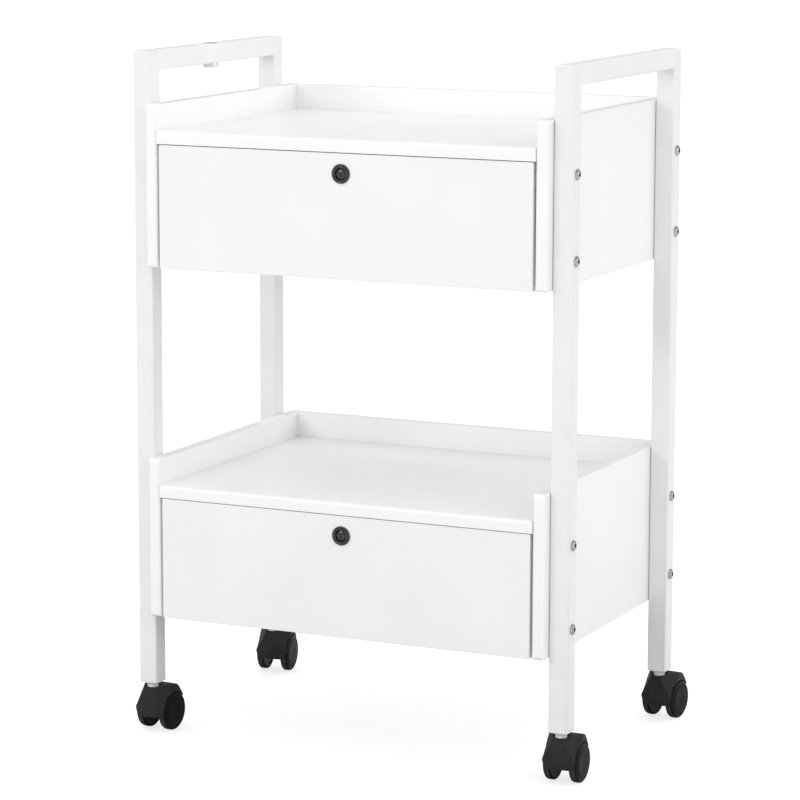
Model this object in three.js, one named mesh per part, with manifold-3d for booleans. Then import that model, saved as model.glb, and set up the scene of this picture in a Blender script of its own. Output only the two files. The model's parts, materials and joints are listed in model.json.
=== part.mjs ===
// Rolling salon trolley: two welded square-tube side frames on twin-wheel casters carry two
// foil-wrapped cabinets, each with a rimmed tray on top and a lockable drawer on metal slides.
//
// Units are millimetres. +X is the trolley's right, +Y its back, +Z up. The origin is on the
// floor, under the middle of the trolley's bounding box.

import * as THREE from "three";
import { mergeVertices } from "three/addons/utils/BufferGeometryUtils.js";
import { ConvexGeometry } from "three/addons/geometries/ConvexGeometry.js";
import Module from "manifold-3d";

// ---------------------------------------------------------------- driving dimensions

const GAP = 0.3; // between pieces that touch

const TUBE = 25;
const TUBE_WALL = 1.5;
const FRAME_WIDTH = 596; // over the outer faces of the two frames
const FRAME_DEPTH = 364;
const HANDLE_TOP = 880;
const POST_BOTTOM = 68;

const BOARD = 16;
const CABINET_DEPTH = 405;
const CABINET_HEIGHT = 205;
const CABINET_OVERHANG = 17; // how far a cabinet stands in front of the front posts
const CABINET_GAP = 0.4; // between a cabinet's side and the post
const CABINET_BOTTOMS = { upper: 610, lower: 160 };
const SHELF_TOP = 172; // above the cabinet's bottom, so the rim stands 33 proud of it

const BOLT_HEIGHTS = [36, 140]; // above the cabinet's bottom
const BOLT_HOLE_RADIUS = 3.3;
const BOLT_HOLE_DEPTH = 13; // into the cabinet's side

const DRAWER_FRONT_HEIGHT = 155;
const DRAWER_FRONT_GAP = 3; // at each end
const DRAWER_FRONT_RECESS = 1;
const DRAWER_BOARD = 12;
const DRAWER_SIDE_LENGTH = 350;
const DRAWER_SIDE_BOTTOM = 12;
const DRAWER_SIDE_TOP = 122;
const DRAWER_BOTTOM_SHEET = 4;
const DRAWER_BOTTOM_HEIGHT = 16; // of the sheet's underside
const GROOVE_DEPTH = 5;

const SLIDE_SPACE = 12.7; // between a drawer's side and the cabinet's
const SLIDE_LENGTH = 350;
const SLIDE_MIDDLE = 60; // above the cabinet's bottom
const SLIDE_STEEL = 1.2;
const SLIDE_SETBACK = 4; // of the cabinet's member behind the drawer's front board
const SLIDE_MEMBERS = {
  cabinet: { half: 17.5, reach: 8.5, lip: 2.5 }, // half its height, its depth and its edges' lip
  drawer: { half: 13.5, reach: 7, lip: 0 },
};

const LOCK_HEIGHT = 130; // of its axis above the cabinet's bottom
const LOCK_BEZEL_RADIUS = 12.2;
const LOCK_BEZEL_PROUD = 3;
const LOCK_BEZEL_CHAMFER = 1.5;
const LOCK_BARREL_RADIUS = 9.5;
const LOCK_LENGTH = 22; // behind the drawer's front face
const LOCK_PLUG_RADIUS = 7;
const LOCK_PLUG_RECESS = 0.6; // of its face behind the bezel's
const LOCK_TANG = 6; // square end of the plug that carries the cam
const LOCK_TANG_LENGTH = 5;
const KEYWAY_HALF_WIDTH = 1;
const KEYWAY_HALF_HEIGHT = 4;
const KEYWAY_DEPTH = 15;
const CAM_REACH = 25; // turned up, its tip stops 1 mm under the shelf
const CAM_WIDTH = 12;
const CAM_STEEL = 2;

const SOCKET_RADIUS = 10;
const SOCKET_BORE_RADIUS = 6.5;
const SOCKET_BELOW_BAR = 6.5;

const WHEEL_RADIUS = 25;
const WHEEL_WIDTH = 10.8;
const WHEEL_OFFSET = 17.6; // from the caster's middle to each wheel's
const WHEEL_HUB_REACH = 7.8; // inwards from the wheel's middle
const WHEEL_SIDES = 24;
const CASTER_TRAIL = 18;
const STEM_RADIUS = 4;
const STEM_BOTTOM = 43; // above the floor
const STEM_LENGTH = 50;
const AXLE_RADIUS = 2.5;
const AXLE_END = 4; // how far the axle reaches past a wheel's middle
const CASTER_YAWS = { front_left: -5, front_right: 0, rear_left: 7, rear_right: -7 }; // degrees

// Heights above the floor, and distances in front of (-) or behind (+) the stem.
const HOOD_TOP = 61.5;
const HOOD_SKIRT = 20.5;
const HOOD_FRONT = -13;
const HOOD_HALF_WIDTH = 22.2;
const HOOD_BACK_HALF_WIDTH = 19.8; // its sides draw in behind the axle
const HOOD_BULGE_RADIUS = 50; // of its front, seen from above
const HOOD_BEND = 37; // the height where its front starts to lean back
const HOOD_LEAN = 2.5;
const HOOD_SHOULDER = 4; // below its top
const HOOD_CROWN = 9; // how far the crown's curve holds on to its tangents
// Each front corner is cut flat through three points: across, back and up on the right side.
const FACET = { top: [8, -11, 57], low: [21.7, -8, 32], back: [23.2, 18, 60.5] };
const FACET_OUTWARDS = 30;
const HOOD_TUCK = [1.6, 12]; // how far its foot draws in, over this height
const HOOD_DISH_FLOOR = 58.7; // the round recess under the post
const HOOD_DISH_RADII = [9.5, 12.5]; // at its floor and at the hood's top
const ARCH_RADIUS = WHEEL_RADIUS + 1;
const FENDER_RADIUS = ARCH_RADIUS + 1.6;
const FENDER_END = THREE.MathUtils.degToRad(38); // above the axle, behind it
const AXLE_BOSS_RADIUS = 9;
const SPINE_HALF = 9; // half the housing's width between the wheels

const INSERT_LENGTH = 30; // of the plug inside the tube
const INSERT_CAP = 1.3;
const INSERT_CONE_RADII = [12, 8]; // under the cap and at the collar
const COLLAR_RADIUS = 7.4;
const COLLAR_TOP = 64;
const COLLAR_BOTTOM = 59.2;

// ---------------------------------------------------------------- derived places

const tubeCentreX = FRAME_WIDTH / 2 - TUBE / 2;
const sideOuterX = FRAME_WIDTH / 2 - TUBE - CABINET_GAP;
const sideInnerX = sideOuterX - BOARD;
const cabinetFrontY = -CABINET_DEPTH / 2;
const cabinetBackY = CABINET_DEPTH / 2;
const frameFrontY = cabinetFrontY + CABINET_OVERHANG;
const frameBackY = frameFrontY + FRAME_DEPTH;
const postYs = [frameFrontY + TUBE / 2, frameBackY - TUBE / 2];
const shelfBottom = SHELF_TOP - BOARD;
const drawerFaceY = cabinetFrontY + DRAWER_FRONT_RECESS;
const drawerBoxFrontY = drawerFaceY + BOARD + GAP;
const drawerBoxBackY = drawerBoxFrontY + DRAWER_SIDE_LENGTH;
const drawerSideOuterX = sideInnerX - SLIDE_SPACE;
const drawerSideInnerX = drawerSideOuterX - DRAWER_BOARD;

// ---------------------------------------------------------------- materials

const finish = (color, roughness, metalness = 0) =>
  new THREE.MeshStandardMaterial({ color, roughness, metalness });

const materials = {
  powderCoat: finish(0xf2f2f3, 0.4, 0.1),
  foil: finish(0xf7f7f8, 0.35),
  shelf: finish(0xe9e7e8, 0.45),
  drawerBoard: finish(0xf0f0ee, 0.5),
  zinc: finish(0xb9bcc0, 0.35, 0.9),
  lockBlack: finish(0x242427, 0.35, 0.5),
  nylon: finish(0x232325, 0.5),
  tread: finish(0x1c1c1e, 0.6),
  insert: finish(0xdcdcdd, 0.5),
};

// ---------------------------------------------------------------- solids

const wasm = await Module();
wasm.setup();

function toSolid(geometry) {
  const bare = geometry.index ? geometry.toNonIndexed() : geometry.clone();
  bare.deleteAttribute("normal");
  bare.deleteAttribute("uv");
  const merged = mergeVertices(bare, 1e-3);
  return new wasm.Manifold(
    new wasm.Mesh({
      numProp: 3,
      vertProperties: merged.attributes.position.array,
      triVerts: new Uint32Array(merged.index.array),
    }),
  );
}

function toGeometry(solid) {
  const { vertProperties, triVerts } = solid.getMesh();
  const geometry = new THREE.BufferGeometry();
  geometry.setAttribute("position", new THREE.BufferAttribute(vertProperties, 3));
  geometry.setIndex(new THREE.BufferAttribute(triVerts, 1));
  return geometry;
}

const cut = (geometry, ...tools) =>
  toGeometry(tools.reduce((left, tool) => left.subtract(toSolid(tool)), toSolid(geometry)));

const join = (geometry, ...others) =>
  toGeometry(others.reduce((sum, other) => sum.add(toSolid(other)), toSolid(geometry)));

// A box between two corners.
function block([x0, y0, z0], [x1, y1, z1]) {
  return new THREE.BoxGeometry(x1 - x0, y1 - y0, z1 - z0).translate(
    (x0 + x1) / 2,
    (y0 + y1) / 2,
    (z0 + z1) / 2,
  );
}

// A cylinder along "x", "y" or "z" that starts at a point and runs a length in the positive way.
function rod(axis, radius, length, [x, y, z], sides = 24) {
  const geometry = new THREE.CylinderGeometry(radius, radius, length, sides);
  geometry.translate(0, length / 2, 0);
  if (axis === "x") geometry.rotateZ(-Math.PI / 2);
  if (axis === "z") geometry.rotateX(Math.PI / 2);
  return geometry.translate(x, y, z);
}

// An outline in the YZ plane, extruded along X from x0 to x1.
function extrudeAlongX(shape, x0, x1, curveSegments = 8) {
  const geometry = new THREE.ExtrudeGeometry(shape, {
    depth: x1 - x0,
    bevelEnabled: false,
    curveSegments,
  });
  const yzx = new THREE.Matrix4().makeBasis(
    new THREE.Vector3(0, 1, 0),
    new THREE.Vector3(0, 0, 1),
    new THREE.Vector3(1, 0, 0),
  );
  return geometry.applyMatrix4(yzx).translate(x0, 0, 0);
}

// An outline in the XZ plane, extruded along Y from y0 to y1.
function extrudeAlongY(points, y0, y1) {
  const shape = new THREE.Shape(points.map(([x, z]) => new THREE.Vector2(x, z)));
  const geometry = new THREE.ExtrudeGeometry(shape, { depth: y1 - y0, bevelEnabled: false });
  return geometry.rotateX(Math.PI / 2).translate(0, y1, 0);
}

// A profile of [radius, height] points turned about the Y axis.
function turned(profile, sides) {
  const points = profile.map(([radius, height]) => new THREE.Vector2(radius, height));
  return new THREE.LatheGeometry(points, sides);
}

// The triangle abc, widened about its middle, swept far outwards: a tool that cuts a corner flat.
function cornerTool(a, b, c, outwards) {
  const triangle = [a, b, c].map((p) => new THREE.Vector3(...p));
  const middle = new THREE.Vector3();
  triangle.forEach((p) => middle.addScaledVector(p, 1 / 3));
  const near = triangle.map((p) => p.clone().sub(middle).multiplyScalar(3).add(middle));
  const sweep = new THREE.Vector3(...outwards);
  return new ConvexGeometry([...near, ...near.map((p) => p.clone().add(sweep))]);
}

function piece(name, geometry, material) {
  const mesh = new THREE.Mesh(geometry, material);
  mesh.name = name;
  return mesh;
}

const sideSigns = { left: -1, right: 1 };

// ---------------------------------------------------------------- side frames

// One welded frame: two posts and the handle bar, hollow and open at the feet.
function frame(name, sign) {
  const outline = (inset, foot) => {
    const front = frameFrontY + inset;
    const back = frameBackY - inset;
    const across = TUBE - 2 * inset;
    const top = HANDLE_TOP - inset;
    return new THREE.Shape(
      [
        [front, foot],
        [front + across, foot],
        [front + across, top - across],
        [back - across, top - across],
        [back - across, foot],
        [back, foot],
        [back, top],
        [front, top],
      ].map(([y, z]) => new THREE.Vector2(y, z)),
    );
  };
  const x0 = sign * tubeCentreX - TUBE / 2;
  const x1 = x0 + TUBE;
  const hollow = extrudeAlongX(outline(TUBE_WALL, 0), x0 + TUBE_WALL, x1 - TUBE_WALL);
  const tools = [hollow];
  for (const bottom of Object.values(CABINET_BOTTOMS))
    for (const height of BOLT_HEIGHTS)
      for (const y of postYs)
        tools.push(rod("x", BOLT_HOLE_RADIUS, TUBE + 2, [x0 - 1, y, bottom + height], 10));
  if (name === "left") {
    const centre = [sign * tubeCentreX, (frameFrontY + frameBackY) / 2, HANDLE_TOP - TUBE - 1];
    tools.push(rod("z", SOCKET_RADIUS + GAP, TUBE + 2, centre));
  }
  const tube = extrudeAlongX(outline(0, POST_BOTTOM), x0, x1);
  return piece(name + "_frame", cut(tube, ...tools), materials.powderCoat);
}

// The sleeve in the left handle bar that a lamp's pin stands in.
function lampSocket() {
  const length = TUBE + SOCKET_BELOW_BAR;
  const base = [-tubeCentreX, (frameFrontY + frameBackY) / 2, HANDLE_TOP - length];
  const below = [base[0], base[1], base[2] - 1];
  const sleeve = rod("z", SOCKET_RADIUS, length, base);
  const bore = rod("z", SOCKET_BORE_RADIUS, length + 2, below);
  return piece("lamp_socket", cut(sleeve, bore), materials.zinc);
}

// ---------------------------------------------------------------- cabinets

// In a cabinet's own group Z is 0 at its underside.
function cabinetSide(name, side) {
  const sign = sideSigns[side];
  const x0 = sign > 0 ? sideInnerX : -sideOuterX;
  const board = block([x0, cabinetFrontY, 0], [x0 + BOARD, cabinetBackY, CABINET_HEIGHT]);
  const holeX = sign > 0 ? sideOuterX - BOLT_HOLE_DEPTH : -sideOuterX - 1;
  const holes = BOLT_HEIGHTS.flatMap((z) =>
    postYs.map((y) => rod("x", BOLT_HOLE_RADIUS, BOLT_HOLE_DEPTH + 1, [holeX, y, z], 10)),
  );
  return piece(`${name}_side_${side}`, cut(board, ...holes), materials.foil);
}

function shelf(name) {
  const x = sideInnerX - GAP;
  const board = block(
    [-x, cabinetFrontY, shelfBottom],
    [x, cabinetBackY - BOARD - GAP, SHELF_TOP],
  );
  return piece(name + "_shelf", board, materials.shelf);
}

function backPanel(name) {
  const x = sideInnerX - GAP;
  const board = block([-x, cabinetBackY - BOARD, 0], [x, cabinetBackY, CABINET_HEIGHT]);
  return piece(name + "_back_panel", board, materials.foil);
}

// Both members of a ball slide, as outlines in the space between drawer and cabinet: x runs
// from 0 at the drawer's side to SLIDE_SPACE at the cabinet's side, and z from its middle.
function slideOutline(member) {
  const { half, reach, lip } = SLIDE_MEMBERS[member];
  const web = member === "cabinet" ? SLIDE_SPACE - GAP : GAP;
  const into = member === "cabinet" ? -1 : 1;
  const tip = web + into * reach;
  const steel = SLIDE_STEEL;
  const upper = [
    [web, half],
    [tip, half],
    [tip, half - steel - lip],
    [tip - into * steel, half - steel - lip],
    [tip - into * steel, half - steel],
    [web + into * steel, half - steel],
  ];
  const lower = upper.map(([x, z]) => [x, -z]).reverse();
  return [...upper, ...lower];
}

function slide(name, side, member) {
  const sign = sideSigns[side];
  const outline = slideOutline(member).map(([x, z]) => [sign * (drawerSideOuterX + x), z]);
  const turnedRound = THREE.ShapeUtils.area(outline.map(([x, y]) => ({ x, y }))) < 0;
  if (turnedRound) outline.reverse();
  const y0 = member === "cabinet" ? cabinetFrontY + BOARD + SLIDE_SETBACK : drawerBoxFrontY;
  const rail = extrudeAlongY(outline, y0, y0 + SLIDE_LENGTH).translate(0, 0, SLIDE_MIDDLE);
  const label = member === "cabinet" ? "cabinet_runner" : "drawer_runner";
  return piece(`${name}_${label}_${side}`, rail, materials.zinc);
}

function cabinet(name) {
  const group = new THREE.Group();
  group.position.z = CABINET_BOTTOMS[name];
  group.add(shelf(name), backPanel(name));
  for (const side of Object.keys(sideSigns))
    group.add(cabinetSide(name, side), slide(name, side, "cabinet"));
  return group;
}

// ---------------------------------------------------------------- drawers

function drawerFront(name) {
  const x = sideInnerX - DRAWER_FRONT_GAP;
  const board = block([-x, drawerFaceY, 0], [x, drawerFaceY + BOARD, DRAWER_FRONT_HEIGHT]);
  const hole = rod("y", LOCK_BARREL_RADIUS + GAP, BOARD + 2, [0, drawerFaceY - 1, LOCK_HEIGHT]);
  return piece(name + "_drawer_front", cut(board, hole), materials.foil);
}

// A drawer's side board, grooved along its inner face for the bottom sheet.
function drawerSide(name, side) {
  const sign = sideSigns[side];
  const x0 = sign > 0 ? drawerSideInnerX : -drawerSideOuterX;
  const board = block(
    [x0, drawerBoxFrontY, DRAWER_SIDE_BOTTOM],
    [x0 + DRAWER_BOARD, drawerBoxBackY, DRAWER_SIDE_TOP],
  );
  const grooveX = sign > 0 ? drawerSideInnerX - 1 : -drawerSideInnerX - GROOVE_DEPTH;
  const groove = block(
    [grooveX, drawerBoxFrontY - 1, DRAWER_BOTTOM_HEIGHT - GAP],
    [
      grooveX + GROOVE_DEPTH + 1,
      drawerBoxBackY + 1,
      DRAWER_BOTTOM_HEIGHT + DRAWER_BOTTOM_SHEET + GAP,
    ],
  );
  return piece(`${name}_drawer_side_${side}`, cut(board, groove), materials.drawerBoard);
}

function drawerBack(name) {
  const x = drawerSideInnerX - GAP;
  const above = DRAWER_BOTTOM_HEIGHT + DRAWER_BOTTOM_SHEET + GAP;
  const board = block(
    [-x, drawerBoxBackY - DRAWER_BOARD, above],
    [x, drawerBoxBackY, DRAWER_SIDE_TOP],
  );
  return piece(name + "_drawer_back", board, materials.drawerBoard);
}

function drawerBottom(name) {
  const x = drawerSideInnerX + GROOVE_DEPTH - GAP;
  const sheet = block(
    [-x, drawerBoxFrontY, DRAWER_BOTTOM_HEIGHT],
    [x, drawerBoxBackY, DRAWER_BOTTOM_HEIGHT + DRAWER_BOTTOM_SHEET],
  );
  return piece(name + "_drawer_bottom", sheet, materials.drawerBoard);
}

// ---------------------------------------------------------------- cam locks

// In a lock's own group the axis is Y, and Y is 0 at the drawer's front face.
function lockHousing(name) {
  const face = -LOCK_BEZEL_PROUD;
  const bore = LOCK_PLUG_RADIUS + GAP;
  const profile = [
    [bore, face],
    [LOCK_BEZEL_RADIUS - LOCK_BEZEL_CHAMFER, face],
    [LOCK_BEZEL_RADIUS, face + LOCK_BEZEL_CHAMFER],
    [LOCK_BEZEL_RADIUS, -GAP],
    [LOCK_BARREL_RADIUS, -GAP],
    [LOCK_BARREL_RADIUS, LOCK_LENGTH],
    [bore, LOCK_LENGTH],
    [bore, face],
  ];
  return piece(name + "_lock_housing", turned(profile, 28), materials.lockBlack);
}

// The plug turns in the housing: a keyway in its face, a square tang behind.
function lockPlug(name) {
  const face = -LOCK_BEZEL_PROUD + LOCK_PLUG_RECESS;
  const barrel = rod("y", LOCK_PLUG_RADIUS, LOCK_LENGTH - face, [0, face, 0]);
  const half = LOCK_TANG / 2;
  const tangEnd = LOCK_LENGTH + LOCK_TANG_LENGTH;
  const tang = block([-half, LOCK_LENGTH - 1, -half], [half, tangEnd, half]);
  const keyway = block(
    [-KEYWAY_HALF_WIDTH, face - 1, -KEYWAY_HALF_HEIGHT],
    [KEYWAY_HALF_WIDTH, face + KEYWAY_DEPTH, KEYWAY_HALF_HEIGHT],
  );
  return piece(name + "_lock_plug", cut(join(barrel, tang), keyway), materials.lockBlack);
}

// The cam points to the left when unlocked, and the key turns it up towards the shelf.
function lockCam(name) {
  const half = CAM_WIDTH / 2;
  const y0 = LOCK_LENGTH + GAP;
  const arm = block([-CAM_REACH, y0, -half], [0, y0 + CAM_STEEL, half]);
  const boss = rod("y", half, CAM_STEEL, [0, y0, 0]);
  const hole = LOCK_TANG / 2 + GAP;
  const square = block([-hole, y0 - 1, -hole], [hole, y0 + CAM_STEEL + 1, hole]);
  return piece(name + "_lock_cam", cut(join(arm, boss), square), materials.zinc);
}

function drawer(name) {
  const group = new THREE.Group();
  group.position.z = CABINET_BOTTOMS[name];
  group.add(drawerFront(name), drawerBack(name), drawerBottom(name));
  for (const side of Object.keys(sideSigns))
    group.add(drawerSide(name, side), slide(name, side, "drawer"));
  const lock = new THREE.Group();
  lock.position.set(0, drawerFaceY, LOCK_HEIGHT);
  lock.add(lockHousing(name), lockPlug(name), lockCam(name));
  group.add(lock);
  return group;
}

// ---------------------------------------------------------------- casters

// In a caster's own group Z is 0 on the floor and the stem stands at X 0, Y 0.

// Plugs the foot of a post: a cap that narrows to a collar, with the stem's bore through it.
function insert(name) {
  const half = TUBE / 2;
  const inner = half - TUBE_WALL - GAP;
  const capTop = POST_BOTTOM - GAP;
  const capBottom = capTop - INSERT_CAP;
  const plug = block([-inner, -inner, capBottom], [inner, inner, capTop + INSERT_LENGTH]);
  const cap = block([-half, -half, capBottom], [half, half, capTop]);
  const [coneTop, coneBottom] = INSERT_CONE_RADII;
  const foot = turned(
    [
      [0, COLLAR_BOTTOM],
      [COLLAR_RADIUS, COLLAR_BOTTOM],
      [COLLAR_RADIUS, COLLAR_TOP],
      [coneBottom, COLLAR_TOP],
      [coneTop, capBottom],
      [coneTop, capTop],
      [0, capTop],
    ],
    24,
  ).rotateX(Math.PI / 2);
  const boreBottom = [0, 0, COLLAR_BOTTOM - 1];
  const bore = rod("z", STEM_RADIUS + GAP, capTop + INSERT_LENGTH - COLLAR_BOTTOM + 2, boreBottom, 16);
  return piece(name + "_insert", cut(join(cap, plug, foot), bore), materials.insert);
}

function stem(name) {
  const pin = rod("z", STEM_RADIUS, STEM_LENGTH, [0, 0, STEM_BOTTOM], 16);
  return piece(name + "_stem", pin, materials.zinc);
}

// The hood's side view: a skirt and a leaning front, a flat top, a fender that follows the
// wheels down behind, and the spine between them round the axle.
function hoodOutline() {
  const fender = new THREE.Vector2(Math.cos(FENDER_END), Math.sin(FENDER_END));
  const onCircle = (radius) =>
    fender.clone().multiplyScalar(radius).add(new THREE.Vector2(CASTER_TRAIL, WHEEL_RADIUS));
  const end = onCircle(FENDER_RADIUS);
  const along = new THREE.Vector2(-fender.y, fender.x).multiplyScalar(HOOD_CROWN).add(end);
  const boss = onCircle(AXLE_BOSS_RADIUS);
  const side = new THREE.Shape();
  side.moveTo(HOOD_FRONT, HOOD_SKIRT);
  side.lineTo(HOOD_FRONT, HOOD_BEND);
  side.lineTo(HOOD_FRONT + HOOD_LEAN, HOOD_TOP - HOOD_SHOULDER);
  side.lineTo(HOOD_FRONT + 2 * HOOD_LEAN, HOOD_TOP);
  side.lineTo(CASTER_TRAIL, HOOD_TOP);
  side.bezierCurveTo(CASTER_TRAIL + HOOD_CROWN, HOOD_TOP, along.x, along.y, end.x, end.y);
  side.lineTo(boss.x, boss.y);
  side.absarc(CASTER_TRAIL, WHEEL_RADIUS, AXLE_BOSS_RADIUS, FENDER_END, -Math.PI / 2, true);
  side.lineTo(HOOD_FRONT, HOOD_SKIRT);
  return side;
}

// The hood seen from above: a bulging front, and straight sides that draw in behind the axle.
function hoodPlan() {
  const corner = Math.asin(HOOD_HALF_WIDTH / HOOD_BULGE_RADIUS);
  const centre = HOOD_FRONT + HOOD_BULGE_RADIUS;
  const back = CASTER_TRAIL + FENDER_RADIUS + 1;
  const plan = new THREE.Shape();
  plan.absarc(0, centre, HOOD_BULGE_RADIUS, -Math.PI / 2 - corner, -Math.PI / 2 + corner, false);
  plan.lineTo(HOOD_HALF_WIDTH, CASTER_TRAIL);
  plan.lineTo(HOOD_BACK_HALF_WIDTH, back);
  plan.lineTo(-HOOD_BACK_HALF_WIDTH, back);
  plan.lineTo(-HOOD_HALF_WIDTH, CASTER_TRAIL);
  plan.closePath();
  const [tuck, tuckHeight] = HOOD_TUCK;
  const solid = new THREE.ExtrudeGeometry(plan, {
    depth: HOOD_TOP - HOOD_SKIRT,
    bevelThickness: tuckHeight,
    bevelSize: tuck,
    bevelOffset: -tuck,
    bevelSegments: 3,
    curveSegments: 10,
  });
  return solid.translate(0, 0, HOOD_SKIRT + tuckHeight);
}

// The hood over both wheels, with the spine between them that holds stem and axle.
function housing(name) {
  const half = HOOD_HALF_WIDTH;
  const tools = [];
  for (const sign of Object.values(sideSigns)) {
    const x0 = sign > 0 ? SPINE_HALF : -half - 1;
    const arch = [x0, CASTER_TRAIL, WHEEL_RADIUS];
    tools.push(rod("x", ARCH_RADIUS, half - SPINE_HALF + 1, arch, 32));
    const [top, low, back] = [FACET.top, FACET.low, FACET.back].map(([x, y, z]) => [sign * x, y, z]);
    const outwards = [sign * FACET_OUTWARDS, -FACET_OUTWARDS, FACET_OUTWARDS];
    tools.push(cornerTool(top, low, back, outwards));
  }
  const [floorRadius, topRadius] = HOOD_DISH_RADII;
  const dishDepth = HOOD_TOP - HOOD_DISH_FLOOR;
  const slope = (topRadius - floorRadius) / dishDepth;
  const dish = new THREE.CylinderGeometry(topRadius + slope, floorRadius, dishDepth + 1, 32);
  dish.rotateX(Math.PI / 2).translate(0, 0, HOOD_DISH_FLOOR + (dishDepth + 1) / 2);
  tools.push(dish);
  const stemHole = [0, 0, STEM_BOTTOM - 2 * GAP];
  tools.push(rod("z", STEM_RADIUS + GAP, HOOD_TOP - STEM_BOTTOM + 1, stemHole, 16));
  const axle = [-SPINE_HALF - 1, CASTER_TRAIL, WHEEL_RADIUS];
  tools.push(rod("x", AXLE_RADIUS + GAP, 2 * SPINE_HALF + 2, axle, 16));
  const swept = toSolid(extrudeAlongX(hoodOutline(), -half, half)).intersect(toSolid(hoodPlan()));
  return piece(name + "_housing", cut(toGeometry(swept), ...tools), materials.nylon);
}

function axle(name) {
  const half = WHEEL_OFFSET + AXLE_END;
  const pin = rod("x", AXLE_RADIUS, 2 * half, [-half, CASTER_TRAIL, WHEEL_RADIUS], 16);
  return piece(name + "_axle", pin, materials.zinc);
}

// A wheel with a flat tread, a stepped outer face and a blind bore from its inner face. Its
// flats, not its corners, lie at the wheel's radius, so that it stands on one of them.
function wheel(name, side) {
  const sign = sideSigns[side];
  const rim = WHEEL_RADIUS / Math.cos(Math.PI / WHEEL_SIDES);
  const half = WHEEL_WIDTH / 2;
  const bore = AXLE_RADIUS + GAP;
  const boreEnd = AXLE_END + GAP;
  const profile = [
    [0, half],
    [rim - 7, half],
    [rim - 6, half - 1],
    [rim - 5, half - 0.4],
    [rim - 2, half - 1.2],
    [rim, half - 3],
    [rim, 1.6 - half],
    [rim - 2, -half],
    [rim - 4, -half],
    [rim - 6, 1.5 - half],
    [bore + 5, 1.5 - half],
    [bore + 3.5, -WHEEL_HUB_REACH],
    [bore, -WHEEL_HUB_REACH],
    [bore, boreEnd],
    [0, boreEnd],
  ].reverse();
  const geometry = turned(profile, WHEEL_SIDES).rotateY(Math.PI / WHEEL_SIDES);
  geometry.rotateZ((-sign * Math.PI) / 2);
  geometry.translate(sign * WHEEL_OFFSET, CASTER_TRAIL, WHEEL_RADIUS);
  return piece(`${name}_wheel_${side}`, geometry, materials.tread);
}

function caster(name, x, y) {
  const group = new THREE.Group();
  group.position.set(x, y, 0);
  const swivel = new THREE.Group();
  swivel.rotation.z = THREE.MathUtils.degToRad(CASTER_YAWS[name]);
  swivel.add(stem(name), housing(name), axle(name), wheel(name, "left"), wheel(name, "right"));
  group.add(insert(name), swivel);
  return group;
}

// ---------------------------------------------------------------- assembly

const trolley = new THREE.Group();
trolley.add(frame("left", -1), frame("right", 1), lampSocket());
for (const name of Object.keys(CABINET_BOTTOMS)) trolley.add(cabinet(name), drawer(name));
for (const [side, sign] of Object.entries(sideSigns))
  ["front", "rear"].forEach((end, i) =>
    trolley.add(caster(`${end}_${side}`, sign * tubeCentreX, postYs[i])),
  );

// The cabinets' middle is not the bounding box's, because the rear wheels trail behind them.
const middle = new THREE.Box3().setFromObject(trolley, true).getCenter(new THREE.Vector3());
trolley.position.y = -middle.y;

export default trolley;
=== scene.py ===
import json
from math import asin, cos, pi, radians, sin, tau

import bmesh
import bpy
from mathutils import Matrix, Vector


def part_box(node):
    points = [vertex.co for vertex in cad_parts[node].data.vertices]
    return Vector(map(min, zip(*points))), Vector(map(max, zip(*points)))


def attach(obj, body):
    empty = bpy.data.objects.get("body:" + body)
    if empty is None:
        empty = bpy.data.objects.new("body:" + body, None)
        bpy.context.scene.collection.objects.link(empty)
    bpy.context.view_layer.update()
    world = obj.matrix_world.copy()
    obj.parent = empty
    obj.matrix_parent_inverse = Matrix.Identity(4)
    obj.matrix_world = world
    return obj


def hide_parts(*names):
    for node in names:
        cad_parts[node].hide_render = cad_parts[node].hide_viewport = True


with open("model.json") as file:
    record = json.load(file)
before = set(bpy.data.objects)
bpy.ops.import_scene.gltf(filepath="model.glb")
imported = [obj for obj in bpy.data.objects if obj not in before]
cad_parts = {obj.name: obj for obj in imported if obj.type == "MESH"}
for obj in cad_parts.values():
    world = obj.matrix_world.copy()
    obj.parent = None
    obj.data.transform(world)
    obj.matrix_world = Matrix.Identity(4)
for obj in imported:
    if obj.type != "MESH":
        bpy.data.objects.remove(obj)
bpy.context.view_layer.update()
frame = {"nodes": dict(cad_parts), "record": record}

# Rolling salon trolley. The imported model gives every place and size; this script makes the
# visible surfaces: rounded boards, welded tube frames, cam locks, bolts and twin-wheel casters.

MM = 0.001
NEAR = 1e-5  # metres within which two coordinates are the same
PAST = 2 * MM  # how far a cutting tool goes past what it cuts
SEAM = 0.01 * MM  # between the two ends of a ring's profile

# ---------------------------------------------------------------- driving values

# The camera, from the middle of the side frames on the floor.
CAMERA_OFFSET = Vector((1.76157, -3.79320, 1.14527))
CAMERA_AZIMUTH = radians(25.066)
CAMERA_ELEVATION = radians(9.70)
CAMERA_ROLL = radians(0.134)
CAMERA_LENS = 148.42
CAMERA_SENSOR = 36
CAMERA_REACH = 50  # metres

TUBE_WALL = 1.5 * MM
TUBE_CORNER = 2.2 * MM
TUBE_SPAN = 20 * MM  # an edge longer than this across a tube goes from side to side
SOCKET_BORE = 6.5 * MM
SOCKET_CHAMFER = 0.8 * MM
SOCKET_ROUNDING = 0.5 * MM
SOCKET_GAP = 0.15 * MM
SOCKET_HOLE_DEPTH = 40 * MM

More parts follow.
